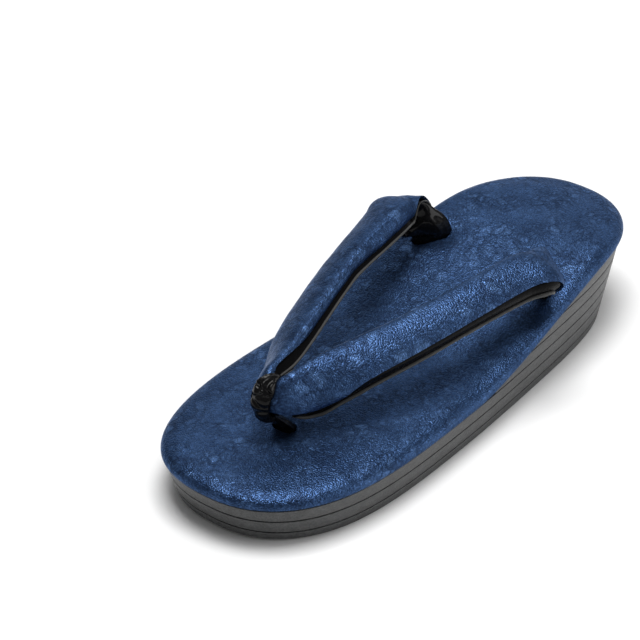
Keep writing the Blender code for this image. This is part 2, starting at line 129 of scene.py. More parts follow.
def tableAt(rows, place, column=1):
    # the same through one column of a table, whose first column holds the keys
    return splineAt([row[0] for row in rows], [row[column] for row in rows], place)


def ripple(point, size, depth, seed=0.0):
    # soft unevenness of a surface, for a wave size and a depth in metres
    return depth * noise.noise(Vector(point) / size + Vector((seed, 0.7 * seed, 1.3 * seed)))


def makePiece(name, verts, faces, material, node):
    mesh = bpy.data.meshes.new(name)
    mesh.from_pydata([tuple(point) for point in verts], [], faces)
    tidy = bmesh.new()
    tidy.from_mesh(mesh)
    bmesh.ops.remove_doubles(tidy, verts=tidy.verts, dist=0.000002)
    bmesh.ops.recalc_face_normals(tidy, faces=tidy.faces)
    tidy.to_mesh(mesh)
    tidy.free()
    mesh.shade_smooth()
    mesh.set_sharp_from_angle(angle=math.radians(55))
    piece = bpy.data.objects.new(name, mesh)
    bpy.context.scene.collection.objects.link(piece)
    mesh.materials.append(material)
    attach(piece, "root")
    if node:
        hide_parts(node)
    return piece


def sweepFaces(ringCount, ringSize, closedPath=False):
    # faces between closed rings of points
    faces = []
    for ring in range(ringCount if closedPath else ringCount - 1):
        following = (ring + 1) % ringCount
        for point in range(ringSize):
            beside = (point + 1) % ringSize
            faces.append((ring * ringSize + point, ring * ringSize + beside,
                          following * ringSize + beside, following * ringSize + point))
    return faces


def cappedSweep(ringCount, ringSize):
    last = (ringCount - 1) * ringSize
    return sweepFaces(ringCount, ringSize) + [tuple(range(ringSize)),
                                              tuple(range(last, last + ringSize))]


# Shader groups

def addNode(tree, kind, **settings):
    made = tree.nodes.new(kind)
    for key, value in settings.items():
        setattr(made, key, value)
    return made


def fill(tree, target, source):
    # a socket takes either another socket or a plain value
    if isinstance(source, bpy.types.NodeSocket):
        tree.links.new(source, target)
    else:
        target.default_value = source


def math2(tree, operation, first, second=0.0, clamp=False):
    made = addNode(tree, "ShaderNodeMath", operation=operation, use_clamp=clamp)
    fill(tree, made.inputs[0], first)
    fill(tree, made.inputs[1], second)
    return made.outputs[0]


def remap(tree, value, fromLow, fromHigh, toLow, toHigh):
    made = addNode(tree, "ShaderNodeMapRange", interpolation_type="SMOOTHSTEP")
    for index, source in enumerate((value, fromLow, fromHigh, toLow, toHigh)):
        fill(tree, made.inputs[index], source)
    return made.outputs[0]


def mixColor(tree, factor, first, second):
    made = addNode(tree, "ShaderNodeMix", data_type="RGBA")
    fill(tree, made.inputs["Factor"], factor)
    fill(tree, made.inputs[6], first)
    fill(tree, made.inputs[7], second)
    return made.outputs[2]


def newGroup(name, inputs, outputs):
    group = bpy.data.node_groups.new(name, "ShaderNodeTree")
    for label, kind, value in inputs:
        socket = group.interface.new_socket(label, in_out="INPUT", socket_type=kind)
        if value is not None:
            socket.default_value = value
    for label, kind in outputs:
        group.interface.new_socket(label, in_out="OUTPUT", socket_type=kind)
    return group, group.nodes.new("NodeGroupInput"), group.nodes.new("NodeGroupOutput")


def millimetres(tree, vector, size):
    # object place divided by a size in millimetres
    made = addNode(tree, "ShaderNodeVectorMath", operation="SCALE")
    fill(tree, made.inputs[0], vector)
    fill(tree, made.inputs["Scale"], math2(tree, "DIVIDE", 1000.0, size))
    return made.outputs[0]


def bend(tree, vector, size, amount):
    # pushes a place about with a slow noise, so that a pattern swirls
    wave = addNode(tree, "ShaderNodeTexNoise")
    fill(tree, wave.inputs["Vector"], millimetres(tree, vector, size))
    wave.inputs["Scale"].default_value = 1.0
    wave.inputs["Detail"].default_value = 2.0
    centred = addNode(tree, "ShaderNodeVectorMath", operation="SUBTRACT")
    tree.links.new(wave.outputs["Color"], centred.inputs[0])
    centred.inputs[1].default_value = (0.5, 0.5, 0.5)
    scaled = addNode(tree, "ShaderNodeVectorMath", operation="SCALE")
    tree.links.new(centred.outputs[0], scaled.inputs[0])
    fill(tree, scaled.inputs["Scale"], math2(tree, "MULTIPLY", amount, 0.001))
    moved = addNode(tree, "ShaderNodeVectorMath", operation="ADD")
    fill(tree, moved.inputs[0], vector)
    tree.links.new(scaled.outputs[0], moved.inputs[1])
    return moved.outputs[0]


def buildCrinkle():
    # pale pillows of many sizes between soft dark veins, as in crumpled and pressed leather
    group, start, end = newGroup(
        "crumpledVeins",
        (("Place", "NodeSocketVector", None), ("Pillow Size", "NodeSocketFloat", 4.0),
         ("Swirl", "NodeSocketFloat", 5.0), ("Vein Width", "NodeSocketFloat", 0.2),
         ("Patchiness", "NodeSocketFloat", 0.5)),
        (("Veins", "NodeSocketFloat"), ("Pillows", "NodeSocketFloat")))
    place = bend(group, start.outputs["Place"], 9.0, start.outputs["Swirl"])
    place = bend(group, place, 2.4, math2(group, "MULTIPLY", start.outputs["Swirl"], 0.30))
    web = addNode(group, "ShaderNodeTexVoronoi", feature="DISTANCE_TO_EDGE")
    fill(group, web.inputs["Vector"], millimetres(group, place, start.outputs["Pillow Size"]))
    web.inputs["Scale"].default_value = 1.0
    web.inputs["Randomness"].default_value = 1.0
    veins = remap(group, web.outputs["Distance"], 0.0, start.outputs["Vein Width"], 1.0, 0.0)
    cells = addNode(group, "ShaderNodeTexVoronoi", feature="F1")
    fill(group, cells.inputs["Vector"], millimetres(group, place, start.outputs["Pillow Size"]))
    cells.inputs["Scale"].default_value = 1.0
    shade = addNode(group, "ShaderNodeSeparateColor")
    group.links.new(cells.outputs["Color"], shade.inputs[0])
    patch = addNode(group, "ShaderNodeTexNoise")
    fill(group, patch.inputs["Vector"], millimetres(group, start.outputs["Place"], 15.0))
    patch.inputs["Scale"].default_value = 1.0
    patch.inputs["Detail"].default_value = 3.0
    patchy = remap(group, patch.outputs["Fac"], 0.38, 0.60, math2(
        group, "SUBTRACT", 1.0, start.outputs["Patchiness"]), 1.0)
    group.links.new(math2(group, "MULTIPLY", veins, patchy), end.inputs["Veins"])
    crown = remap(group, web.outputs["Distance"], 0.0, 0.30, 0.0, 1.0)
    uneven = remap(group, shade.outputs[0], 0.35, 0.95, 0.0, 1.0)
    group.links.new(math2(group, "MULTIPLY", math2(group, "MULTIPLY", crown, uneven), patchy),
                    end.inputs["Pillows"])
    return group


def buildGrain():
    # fine pebbles pressed in a leather's coating
    group, start, end = newGroup(
        "pebbleGrain",
        (("Place", "NodeSocketVector", None), ("Pebble Size", "NodeSocketFloat", 0.6)),
        (("Height", "NodeSocketFloat"), ("Tone", "NodeSocketFloat")))
    cells = addNode(group, "ShaderNodeTexVoronoi", feature="SMOOTH_F1")
    fill(group, cells.inputs["Vector"],
         millimetres(group, start.outputs["Place"], start.outputs["Pebble Size"]))
    cells.inputs["Scale"].default_value = 1.0
    cells.inputs["Smoothness"].default_value = 0.35
    group.links.new(math2(group, "SUBTRACT", 1.0, cells.outputs["Distance"]), end.inputs["Height"])
    tone = addNode(group, "ShaderNodeSeparateColor")
    group.links.new(cells.outputs["Color"], tone.inputs[0])
    group.links.new(tone.outputs[0], end.inputs["Tone"])
    return group


def buildMottle():
    # slow change of tone over a dyed surface
    group, start, end = newGroup(
        "dyeMottle",
        (("Place", "NodeSocketVector", None), ("Patch Size", "NodeSocketFloat", 12.0),
         ("Contrast", "NodeSocketFloat", 1.0)),
        (("Tone", "NodeSocketFloat"),))
    cloud = addNode(group, "ShaderNodeTexNoise")
    fill(group, cloud.inputs["Vector"],
         millimetres(group, start.outputs["Place"], start.outputs["Patch Size"]))
    cloud.inputs["Scale"].default_value = 1.0
    cloud.inputs["Detail"].default_value = 5.0
    cloud.inputs["Roughness"].default_value = 0.62
    spread = math2(group, "MULTIPLY", math2(group, "SUBTRACT", cloud.outputs["Fac"], 0.5),
                   start.outputs["Contrast"])
    group.links.new(math2(group, "ADD", spread, 0.5, clamp=True), end.inputs["Tone"])
    return group


crinkleGroup = buildCrinkle()
grainGroup = buildGrain()
mottleGroup = buildMottle()
print("shader groups built")


def useGroup(tree, group, place, values):
    made = addNode(tree, "ShaderNodeGroup", node_tree=group)
    fill(tree, made.inputs["Place"], place)
    for label, value in values.items():
        made.inputs[label].default_value = value
    return made


def startMaterial(name):
    material = bpy.data.materials.new(name)
    material.use_nodes = True
    tree = material.node_tree
    shader = tree.nodes["Principled BSDF"]
    place = addNode(tree, "ShaderNodeTexCoord").outputs["Object"]
    return material, tree, shader, place


def addBump(tree, height, strength, distance, below=None):
    made = addNode(tree, "ShaderNodeBump")
    made.inputs["Strength"].default_value = strength
    made.inputs["Distance"].default_value = distance
    fill(tree, made.inputs["Height"], height)
    if below is not None:
        tree.links.new(below, made.inputs["Normal"])
    return made.outputs[0]


pearl = {
    "ground": (0.0200, 0.0440, 0.1080, 1.0),
    "groundLight": (0.0360, 0.0760, 0.1750, 1.0),
    "pillowBlue": (0.0900, 0.1750, 0.3650, 1.0),
    "veinBlue": (0.0080, 0.0160, 0.0400, 1.0),
    "metallic": 0.82,
    "roughness": 0.31,
    "veinStrength": 0.70,
    "pillowStrength": 0.60,
    "speckle": 0.30,
    "veinRoughness": 0.10,     # added along the veins
    "specular": 0.4,
    "edgeTint": (0.50, 0.60, 0.80, 1.0),
    "pebbleDepth": 0.00021,
    "patchSize": 10.0,         # of the slow change in tone, in millimetres
    "patchContrast": 2.6,
    # three webs of veins: share of the pillow size and of the swirl, vein width, patchiness
    "webs": ((1.0, 1.0, 0.13, 0.85), (0.42, 0.8, 0.20, 0.70), (2.7, 2.4, 0.07, 0.60)),
    "finePillows": 0.5,        # strength of the second web
    "fineVeins": 0.45,
}


def makePearlLeather(name, pillowSize, swirl, pebbleSize, pillowDepth):
    material, tree, shader, place = startMaterial(name)
    web, fine, wide = [useGroup(tree, crinkleGroup, place, {
        "Pillow Size": pillowSize * size, "Swirl": swirl * turn, "Vein Width": width,
        "Patchiness": patchiness}) for size, turn, width, patchiness in pearl["webs"]]
    grain = useGroup(tree, grainGroup, place, {"Pebble Size": pebbleSize})
    mottle = useGroup(tree, mottleGroup, place, {
        "Patch Size": pearl["patchSize"], "Contrast": pearl["patchContrast"]})
    tone = mixColor(tree, mottle.outputs["Tone"], pearl["ground"], pearl["groundLight"])
    pillows = math2(tree, "MAXIMUM", web.outputs["Pillows"],
                    math2(tree, "MULTIPLY", fine.outputs["Pillows"], pearl["finePillows"]))
    paler = mixColor(tree, math2(tree, "MULTIPLY", pillows, pearl["pillowStrength"]), tone,
                     pearl["pillowBlue"])
    veins = math2(tree, "MAXIMUM", web.outputs["Veins"], wide.outputs["Veins"])
    veins = math2(tree, "MAXIMUM", veins,
                  math2(tree, "MULTIPLY", fine.outputs["Veins"], pearl["fineVeins"]))
    veined = mixColor(tree, math2(tree, "MULTIPLY", veins, pearl["veinStrength"]), paler,
                      pearl["veinBlue"])
    speck = remap(tree, grain.outputs["Tone"], 0.0, 1.0, 1.0 - pearl["speckle"],
                  1.0 + pearl["speckle"])
    shade = addNode(tree, "ShaderNodeVectorMath", operation="SCALE")
    tree.links.new(veined, shade.inputs[0])
    tree.links.new(speck, shade.inputs["Scale"])
    tree.links.new(shade.outputs[0], shader.inputs["Base Color"])
    rough = remap(tree, veins, 0.0, 1.0, pearl["roughness"],
                  pearl["roughness"] + pearl["veinRoughness"])
    tree.links.new(rough, shader.inputs["Roughness"])
    shader.inputs["Metallic"].default_value = pearl["metallic"]
    shader.inputs["Specular IOR Level"].default_value = pearl["specular"]
    shader.inputs["Specular Tint"].default_value = pearl["edgeTint"]
    soft = addBump(tree, pillows, 0.6, pillowDepth)
    normal = addBump(tree, grain.outputs["Height"], 1.0, pearl["pebbleDepth"], soft)
    tree.links.new(normal, shader.inputs["Normal"])
    return material


sideFinish = {
    "dark": (0.030, 0.031, 0.032, 1.0),
    "light": (0.065, 0.067, 0.068, 1.0),
    "roughness": 0.46,
    "pebbleSize": 0.55,        # in millimetres, as is the patches'
    "pebbleDepth": 0.00010,
    "patchSize": 5.0,
    "patchContrast": 1.4,
    "speckle": 0.28,
}


def makeSideLeather(name, brightness):
    material, tree, shader, place = startMaterial(name)
    grain = useGroup(tree, grainGroup, place, {"Pebble Size": sideFinish["pebbleSize"]})
    mottle = useGroup(tree, mottleGroup, place, {
        "Patch Size": sideFinish["patchSize"], "Contrast": sideFinish["patchContrast"]})
    tone = mixColor(tree, mottle.outputs["Tone"], sideFinish["dark"], sideFinish["light"])
    speck = remap(tree, grain.outputs["Tone"], 0.0, 1.0, (1.0 - sideFinish["speckle"]) * brightness,
                  (1.0 + sideFinish["speckle"]) * brightness)
    shade = addNode(tree, "ShaderNodeVectorMath", operation="SCALE")
    tree.links.new(tone, shade.inputs[0])
    tree.links.new(speck, shade.inputs["Scale"])
    tree.links.new(shade.outputs[0], shader.inputs["Base Color"])
    shader.inputs["Roughness"].default_value = sideFinish["roughness"]
    normal = addBump(tree, grain.outputs["Height"], 1.0, sideFinish["pebbleDepth"])
    tree.links.new(normal, shader.inputs["Normal"])
    return material


patentFinish = {
    "color": (0.0028, 0.0028, 0.0032, 1.0),
    # grey colour of the lining's black patent lip: a painted sheen standing in for the light its
    # rolled edge reflects
    "paintedSheenColor": (0.058, 0.058, 0.057, 1.0),
    "roughness": (0.16, 0.30), # in the creases' dark and pale spots
    "coatRoughness": 0.05,
    "creaseDepth": 0.00040,
    "creaseContrast": 1.5,
    # crease size in millimetres, coat weight and gloss
    "gathered": (1.5, 0.24, 0.03),
    "tray": (2.4, 0.06, 0.02),
    "lip": (1.4, 0.06, 0.10),
}


def makePatent(name, color, creaseSize, coat, gloss):
    material, tree, shader, place = startMaterial(name)
    shader.inputs["Base Color"].default_value = color
    mottle = useGroup(tree, mottleGroup, place, {
        "Patch Size": creaseSize, "Contrast": patentFinish["creaseContrast"]})
    rough = remap(tree, mottle.outputs["Tone"], 0.0, 1.0, *patentFinish["roughness"])
    tree.links.new(rough, shader.inputs["Roughness"])
    shader.inputs["Specular IOR Level"].default_value = gloss
    shader.inputs["Coat Weight"].default_value = coat
    shader.inputs["Coat Roughness"].default_value = patentFinish["coatRoughness"]
    normal = addBump(tree, mottle.outputs["Tone"], 0.6, patentFinish["creaseDepth"])
    tree.links.new(normal, shader.inputs["Normal"])
    return material


# pillow size, swirl and pebble size in millimetres, then the pillows' depth in metres
footbedLeather = makePearlLeather("footbedLeather", 4.6, 7.0, 0.62, 0.00005)
strapLeather = makePearlLeather("strapLeather", 6.4, 8.0, 0.62, 0.00001)
sideLeather = makeSideLeather("sideLeather", 1.0)
soleRubber = makeSideLeather("soleRubber", 0.9)
patent = makePatent("patent", patentFinish["color"], *patentFinish["gathered"])
liningPatent = makePatent("liningPatent", patentFinish["color"], *patentFinish["tray"])
# the lip's grey base colour is a painted sheen, in place of its reflection
patentEdgePaintedSheen = makePatent("patentEdgePaintedSheen", patentFinish["paintedSheenColor"], *patentFinish["lip"])
print("materials built")


# Layers of the sole, each with rounded edges, so that a thin dark groove shows between them

layers = {
    "heights": (0.0, 0.0040, 0.0102, 0.0164, 0.0230, 0.0296, 0.0362),
    "nodes": ("outsole", "sole_layer_1", "sole_layer_2", "wedge_layer_1", "wedge_layer_2",
              "wedge_layer_3"),
    "groove": 0.00045,
    "edgeRadius": 0.00035,
    "edgeSteps": 4,
    "overhang": 0.0010,
    "sideDraft": 0.136,
    "toeDraft": 0.333,
    "heelDraft": 0.256,
    "stations": 340,
    "thinnest": 0.0010,
    "roughEdge": 0.00013,      # unevenness of the cut edges along a groove
    "roughSize": 0.0011,
}


def layerWall(turn, low, high):
    # section of one layer's wall, from low to high
    planY = -0.5 * soleLength * math.cos(turn)

    def wallPoint(height, cut):
        side = layers["overhang"] + cut + layers["sideDraft"] * (deckAt(planY) - height)
        toe = layers["overhang"] + cut + layers["toeDraft"] * (sole["frontDeck"] - height)
        rearDeck = sole["frontDeck"] + sole["heelRise"]
        heel = layers["overhang"] + cut + layers["heelDraft"] * (rearDeck - height)
        x, y = outlinePoint(turn, side, toe, heel)
        return x, y, height + springAt(planY)

    # the wall leans in toward the floor, so its top is found in a few rounds
    top = min(high, deckAt(planY) - layers["groove"])
    for _ in range(4):
        top = min(high, deckAt(wallPoint(top, 0.0)[1]) - layers["groove"])
    radius = min(layers["edgeRadius"], 0.4 * (top - low))
    section = []
    steps = layers["edgeSteps"]
    wobble = layers["roughEdge"] * noise.noise(Vector(wallPoint(top, 0.0)) / layers["roughSize"])
    for step in range(steps + 1):
        angle = 0.5 * math.pi * step / steps
        rise = radius * (1.0 - math.cos(angle))
        section.append(wallPoint(low + rise, radius * (1.0 - math.sin(angle))))
    for step in range(steps + 1):
        angle = 0.5 * math.pi * step / steps
        cut = (radius + wobble) * (1.0 - math.cos(angle))
        fall = radius * math.sin(angle)
        section.append(wallPoint(top - radius + fall + wobble * step / steps, cut))
    return section


def layerStart(height):
    # turn at which the deck has climbed to a height
    low, high = 0.0, 0.75 * math.pi
    for _ in range(40):
        middle = 0.5 * (low + high)
        if deckAt(-0.5 * soleLength * math.cos(middle)) < height:
            low = middle
        else:
            high = middle
    return high


def mirroredSlab(sections, capFront):
    # closed slab from right-hand sections, mirrored to the left
    count = len(sections[0])
    verts = []
    for section in sections:
        verts += [Vector(point) for point in section]
        verts += [Vector((-point[0], point[1], point[2])) for point in section]
    faces = []
    for row in range(len(sections) - 1):
        here, there = row * 2 * count, (row + 1) * 2 * count
        for half in (0, count):
            for index in range(count - 1):
                first = here + half + index
                second = there + half + index
                faces.append((first, second, second + 1, first + 1))
        faces.append((here, here + count, there + count, there))
        faces.append((here + count - 1, there + count - 1, there + 2 * count - 1,
                      here + 2 * count - 1))
    if capFront:
        for index in range(count - 1):
            faces.append((index, index + 1, count + index + 1, count + index))
    return verts, faces


def makeLayers():
    for number, node in enumerate(layers["nodes"]):
        low = layers["heights"][number]
        high = layers["heights"][number + 1] - layers["groove"]
        steps = layers["stations"]
        turns = [math.pi * step / steps for step in range(steps + 1)]
        wedge = low > sole["frontDeck"] - layers["thinnest"]
        if wedge:
            start = layerStart(low + layers["thinnest"] + layers["groove"])
            turns = [start] + [turn for turn in turns if turn > start + 0.005]
        sections = [layerWall(turn, low, high) for turn in turns]
        verts, faces = mirroredSlab(sections, wedge)
        rubber = node == "outsole"
        makePiece(node + "Skin", verts, faces, soleRubber if rubber else sideLeather, node)


makeLayers()
print("sole layers built")


# Footbed: a soft cushion with a rolled rim, pressed down round the front hole and the slots

footbed = {
    "stations": 330,
    "edgeSection": ((0.060, 0.00), (0.032, 0.01), (0.010, 0.06), (0.000, 0.17), (0.004, 0.34),
                    (0.020, 0.52), (0.056, 0.70), (0.130, 0.86), (0.300, 0.98), (0.560, 1.00),
                    (0.860, 0.98), (1.000, 0.98)),
    "rimRows": 7,              # rows of edgeSection that make the rolled rim
    "rimShare": 0.34,          # of the section's points, which go to that rim
    "sectionPoints": 84,
    "swell": 0.00022,
    "swellSize": 0.017,
    "fineSwell": 0.00006,
    "fineSwellSize": 0.0045,
    "dimpleDepth": 0.0011,
    "dimpleReach": 0.0042,
    "pitDepth": 0.0045,
    "pitStart": 0.0003,        # outside the edge of a hole or slot
    "pitWall": 0.0010,
}
frontHole = {"y": (0.200 - 0.5) * soleLength, "width": 0.0095, "depth": 0.0060}
slot = {"y": (0.713 - 0.5) * soleLength, "out": 0.0280, "width": 0.0150, "depth": 0.0068,
        "yaw": 50}


def slotAxes(side):
    yaw = math.radians(slot["yaw"])
    wide = Vector((side * math.cos(yaw), -math.sin(yaw), 0.0))
    thin = Vector((side * math.sin(yaw), math.cos(yaw), 0.0))
    return wide, thin


def slotDistance(x, y, centre, wide, width, depth):
    # distance to a rounded slot's edge, negative inside it
    offset = Vector((x - centre[0], y - centre[1], 0.0))
    along = offset.dot(wide)
    reach = max(abs(along) - 0.5 * (width - depth), 0.0)
    sideways = (offset - along * wide).length
    return math.hypot(reach, sideways) - 0.5 * depth


def pressDepth(x, y):
    # how far the leather is pulled down at a place of the footbed's top
    press = 0.0
    places = [((0.0, frontHole["y"]), Vector((1.0, 0.0, 0.0)), frontHole["width"],
               frontHole["depth"])]
    for side in (1, -1):
        wide, _ = slotAxes(side)
        places.append(((side * slot["out"], slot["y"]), wide, slot["width"], slot["depth"]))
    for centre, wide, width, depth in places:
        distance = slotDistance(x, y, centre, wide, width, depth)
        if distance < 3.0 * footbed["dimpleReach"]:
            near = max(distance, 0.0) / footbed["dimpleReach"]
            pit = smoothStep((footbed["pitStart"] - distance) / footbed["pitWall"])
            press += footbed["dimpleDepth"] * math.exp(-near * near) + footbed["pitDepth"] * pit
    return press


def footbedProfile(share):
    # inset and height at a share of a section's points: the first run round the rolled rim, and
    # the others cross the top in even steps
    insets = [row[0] for row in footbed["edgeSection"]]
    heights = [row[1] for row in footbed["edgeSection"]]
    rows, rimShare = footbed["rimRows"], footbed["rimShare"]
    if share < rimShare:
        keys = list(range(len(insets)))
        place = rows * share / rimShare
        return splineAt(keys, insets, place), splineAt(keys, heights, place)
    inset = insets[rows] + (1.0 - insets[rows]) * (share - rimShare) / (1.0 - rimShare)
    return inset, splineAt(insets[rows:], heights[rows:], inset)


def makeFootbed():
    profile = [footbedProfile(index / footbed["sectionPoints"])
               for index in range(footbed["sectionPoints"] + 1)]
    sections = []
    for step in range(footbed["stations"] + 1):
        turn = math.pi * step / footbed["stations"]
        section = []
        for share, height in profile:
            inset = share * 0.5 * sole["ballWidth"]
            x, y = outlinePoint(turn, inset, inset, inset)
            section.append((x, y, deckAt(y) + springAt(y) + height * sole["cushion"]))
        sections.append(section)
    verts, faces = mirroredSlab(sections, False)
    # the rim stays even, and the top swells and dips
    weights = [smoothStep((height - 0.25) / 0.6) for _, height in profile] * 2 * len(sections)
    for vert, weight in zip(verts, weights):
        rise = ripple(vert, footbed["swellSize"], footbed["swell"], 3.0)
        rise += ripple(vert, footbed["fineSwellSize"], footbed["fineSwell"], 9.0)
        vert.z += weight * (rise - pressDepth(vert.x, vert.y))
    piece = makePiece("footbedCover", verts, faces, footbedLeather, "footbed")


makeFootbed()
print("footbed built")


# Straps: padded tubes with an open underside, which the patent lining closes

strap = {
    "width": 0.0190,
    "thickness": 0.0082,
    "spread": 0.0380,
    "rise": 0.0275,
    "skin": 0.0009,
    "stations": 150,
    "arcPoints": 34,
    "puff": 0.90,              # under 1 makes the section fuller than an ellipse
    "swell": 0.00022,
    "swellSize": 0.014,
    "fineSwell": 0.00007,
    "fineSwellSize": 0.005,
    "smoothing": 6,            # passes that even out the section's turning
    # share of the strap, reach and depth of the creases where it turns down to its slot
    "creases": ((0.905, 0.010, 0.00045), (0.945, 0.012, 0.00040)),
    "sagFrom": 158,            # degrees round the section, from its outer side over the top
    "sagTo": 202,
}
# where the pearl leather ends on each edge: share of the strap, degrees above its widest point
outerEdge = ((0.00, 60), (0.03, 60), (0.06, 50), (0.09, 32), (0.13, 4), (0.17, 8), (0.22, 28),
             (0.28, 35), (0.84, 35), (0.93, 5), (1.00, -18))
innerEdge = ((0.00, -50), (0.05, -30), (0.10, -8), (0.16, -12), (0.24, -24), (0.86, -24),
             (0.95, 26), (1.00, 35))
# extra drop of the left strap's inner side: share of the strap, share of its thickness
leftSag = ((0.00, 0.0), (0.52, 0.0), (0.61, 0.15), (0.66, 0.24), (0.72, 0.31), (0.80, 0.35),
           (0.88, 0.37), (0.92, 0.28), (0.96, 0.0), (1.00, 0.0))
# along the sole, out from the middle, rise over the footbed, width and thickness as shares of the
# sizes above, then the tilt and the yaw of the section in degrees
strapRoute = (
    (0.1650, 0.000, 0.57, 0.72, 0.76, 78, 90),
    (0.1790, 0.146, 0.60, 0.97, 0.84, 76, 52),
    (0.2200, 0.235, 0.67, 0.98, 0.94, 62, 30),
    (0.2880, 0.395, 0.79, 1.00, 1.00, 40, 18),
    (0.3980, 0.605, 0.92, 0.95, 1.00, 33, 15),
    (0.5080, 0.771, 1.00, 0.92, 1.00, 32, 12),
    (0.6140, 0.897, 0.86, 0.97, 1.00, 24, 10),
    (0.6500, 0.965, 0.75, 1.02, 1.00, 16, 14),
    (0.6730, 0.960, 0.60, 1.05, 1.00, 8, 26),
    (0.6865, 0.870, 0.41, 1.04, 1.00, 0, 40),
    (0.6915, 0.797, 0.28, 1.00, 0.98, -4, 50),
)


def strapKnots():
    knots = []
    for along, out, rise, *_ in strapRoute:
        y = (along - 0.5) * soleLength
        knots.append(Vector((out * strap["spread"], y, footbedTop(y) + rise * strap["rise"])))
    return knots


def buildStrapFrames(count):
    # middle, outward and upward directions and half sizes along the right strap
    knots = strapKnots()
    keys = [0.0]
    for before, after in zip(knots, knots[1:]):
        keys.append(keys[-1] + (after - before).length)
    longKeys = [-keys[1]] + keys
    longKnots = [Vector((-knots[1].x, knots[1].y, knots[1].z))] + knots
    frontTurn = strapRoute[1][:6] + (180 - strapRoute[1][6],)
    longRows = [frontTurn] + list(strapRoute)

    def pointAt(place):
        return Vector([splineAt(longKeys, [knot[axis] for knot in longKnots], place)
                       for axis in range(3)])

    def valueAt(column, place):
        return splineAt(longKeys, [row[column] for row in longRows], place)

    frames = []
    for step in range(count + 1):
        place = keys[-1] * step / count
        ahead = pointAt(min(place + 0.0003, keys[-1]))
        behind = pointAt(max(place - 0.0003, -keys[1]))
        forward = (ahead - behind).normalized()
        tilt = math.radians(valueAt(5, place))
        yaw = math.radians(valueAt(6, place))
        outward = Vector((math.cos(tilt) * math.cos(yaw), -math.cos(tilt) * math.sin(yaw),
                          -math.sin(tilt)))
        outward = (outward - outward.dot(forward) * forward).normalized()
        frames.append({
            "share": step / count,
            "middle": pointAt(place),
            "outward": outward,
            "upward": outward.cross(forward),
            "halfWidth": 0.5 * strap["width"] * valueAt(3, place),
            "halfThickness": 0.5 * strap["thickness"] * valueAt(4, place),
        })
    return smoothFrames(frames)


def smoothFrames(frames):
    for _ in range(strap["smoothing"]):
        turned = [frames[0]["outward"]]
        for before, here, after in zip(frames, frames[1:], frames[2:]):
            mean = before["outward"] + 2.0 * here["outward"] + after["outward"]
            turned.append(mean.normalized())
        turned.append(frames[-1]["outward"])
        for entry, outward in zip(frames, turned):
            forward = entry["upward"].cross(entry["outward"])
            entry["outward"] = outward
            entry["upward"] = outward.cross(forward).normalized()
    return frames


def mirrorFrame(entry):
    flip = Vector((-1.0, 1.0, 1.0))
    turned = dict(entry)
    for key in ("middle", "outward", "upward"):
        turned[key] = entry[key] * flip
    return turned


def framePoint(entry, across, height):
    return entry["middle"] + across * entry["outward"] + height * entry["upward"]


def edgeAngle(edge, share):
    return math.radians(tableAt(edge, share))


def fuller(value):
    return math.copysign(abs(value) ** strap["puff"], value)


def sagAt(entry):
    if entry["middle"].x >= 0.0:
        return 0.0
    return tableAt(leftSag, entry["share"])


def bendFolds(share, angle):
    fold = 0.0
    for centre, reach, depth in strap["creases"]:
        near = (share - centre - 0.012 * math.cos(angle)) / reach
        fold -= depth * math.exp(-near * near) * max(math.sin(angle), 0.0)
    return fold


def makeStraps(frames):
    sagFrom, sagTo = math.radians(strap["sagFrom"]), math.radians(strap["sagTo"])
    route = [mirrorFrame(entry) for entry in frames[:0:-1]] + frames
    verts = []
    for entry in route:
        first = edgeAngle(outerEdge, entry["share"])
        last = math.pi - edgeAngle(innerEdge, entry["share"])
        hang = sagAt(entry) * strap["thickness"]
        outer, inner = [], []
        for step in range(strap["arcPoints"] + 1):
            angle = first + (last - first) * step / strap["arcPoints"]
            wide = fuller(math.cos(angle))
            high = fuller(math.sin(angle))
            base = framePoint(entry, entry["halfWidth"] * wide, entry["halfThickness"] * high)
            swell = ripple(base, strap["swellSize"], strap["swell"], 5.0)
            swell += ripple(base, strap["fineSwellSize"], strap["fineSwell"], 2.0)
            grow = swell + bendFolds(entry["share"], angle)
            sag = hang * smoothStep((angle - sagFrom) / (sagTo - sagFrom))
            outer.append(framePoint(entry, (entry["halfWidth"] + grow) * wide,
                                    (entry["halfThickness"] + grow) * high - sag))
            inner.append(framePoint(entry, (entry["halfWidth"] - strap["skin"]) * wide,
                                    (entry["halfThickness"] - strap["skin"]) * high - sag))
        verts += outer + inner[::-1]
    size = 2 * (strap["arcPoints"] + 1)
    faces = sweepFaces(len(route), size)
    half = size // 2
    for start in (0, (len(route) - 1) * size):
        for index in range(half - 1):
            faces.append((start + index, start + index + 1, start + size - 2 - index,
                          start + size - 1 - index))
    piece = makePiece("strapSkin", verts, faces, strapLeather, "strap_upper")


strapFrames = buildStrapFrames(strap["stations"])
leftFrames = [mirrorFrame(entry) for entry in strapFrames]
makeStraps(strapFrames)
print("straps built")


# Lining: a patent tray under each strap, with walls up to the pearl leather and a round lip
# along both of its lower edges

lining = {
    "lip": 0.00085,            # radius of the outer lip
    "innerLip": 0.00055,
    "recess": 0.0010,          # of the walls behind the pearl leather's edge
    "tuck": 14,                # degrees that the walls run on under the leather
    "start": 0.052,
    "end": 0.925,
    "lipEnds": (0.950, 1.0),   # where the outer and the inner lip stop
    "crotchGap": 0.0004,
    "under": 50,               # degrees of the strap's section under which the lips start
    "underGap": 0.0003,
    "wallFoot": -30,           # degrees where a wall leaves the strap's section
    "leastWall": 20,
    "wallPoints": 8,
    "floorPoints": 6,
    "lipPoints": 10,
}
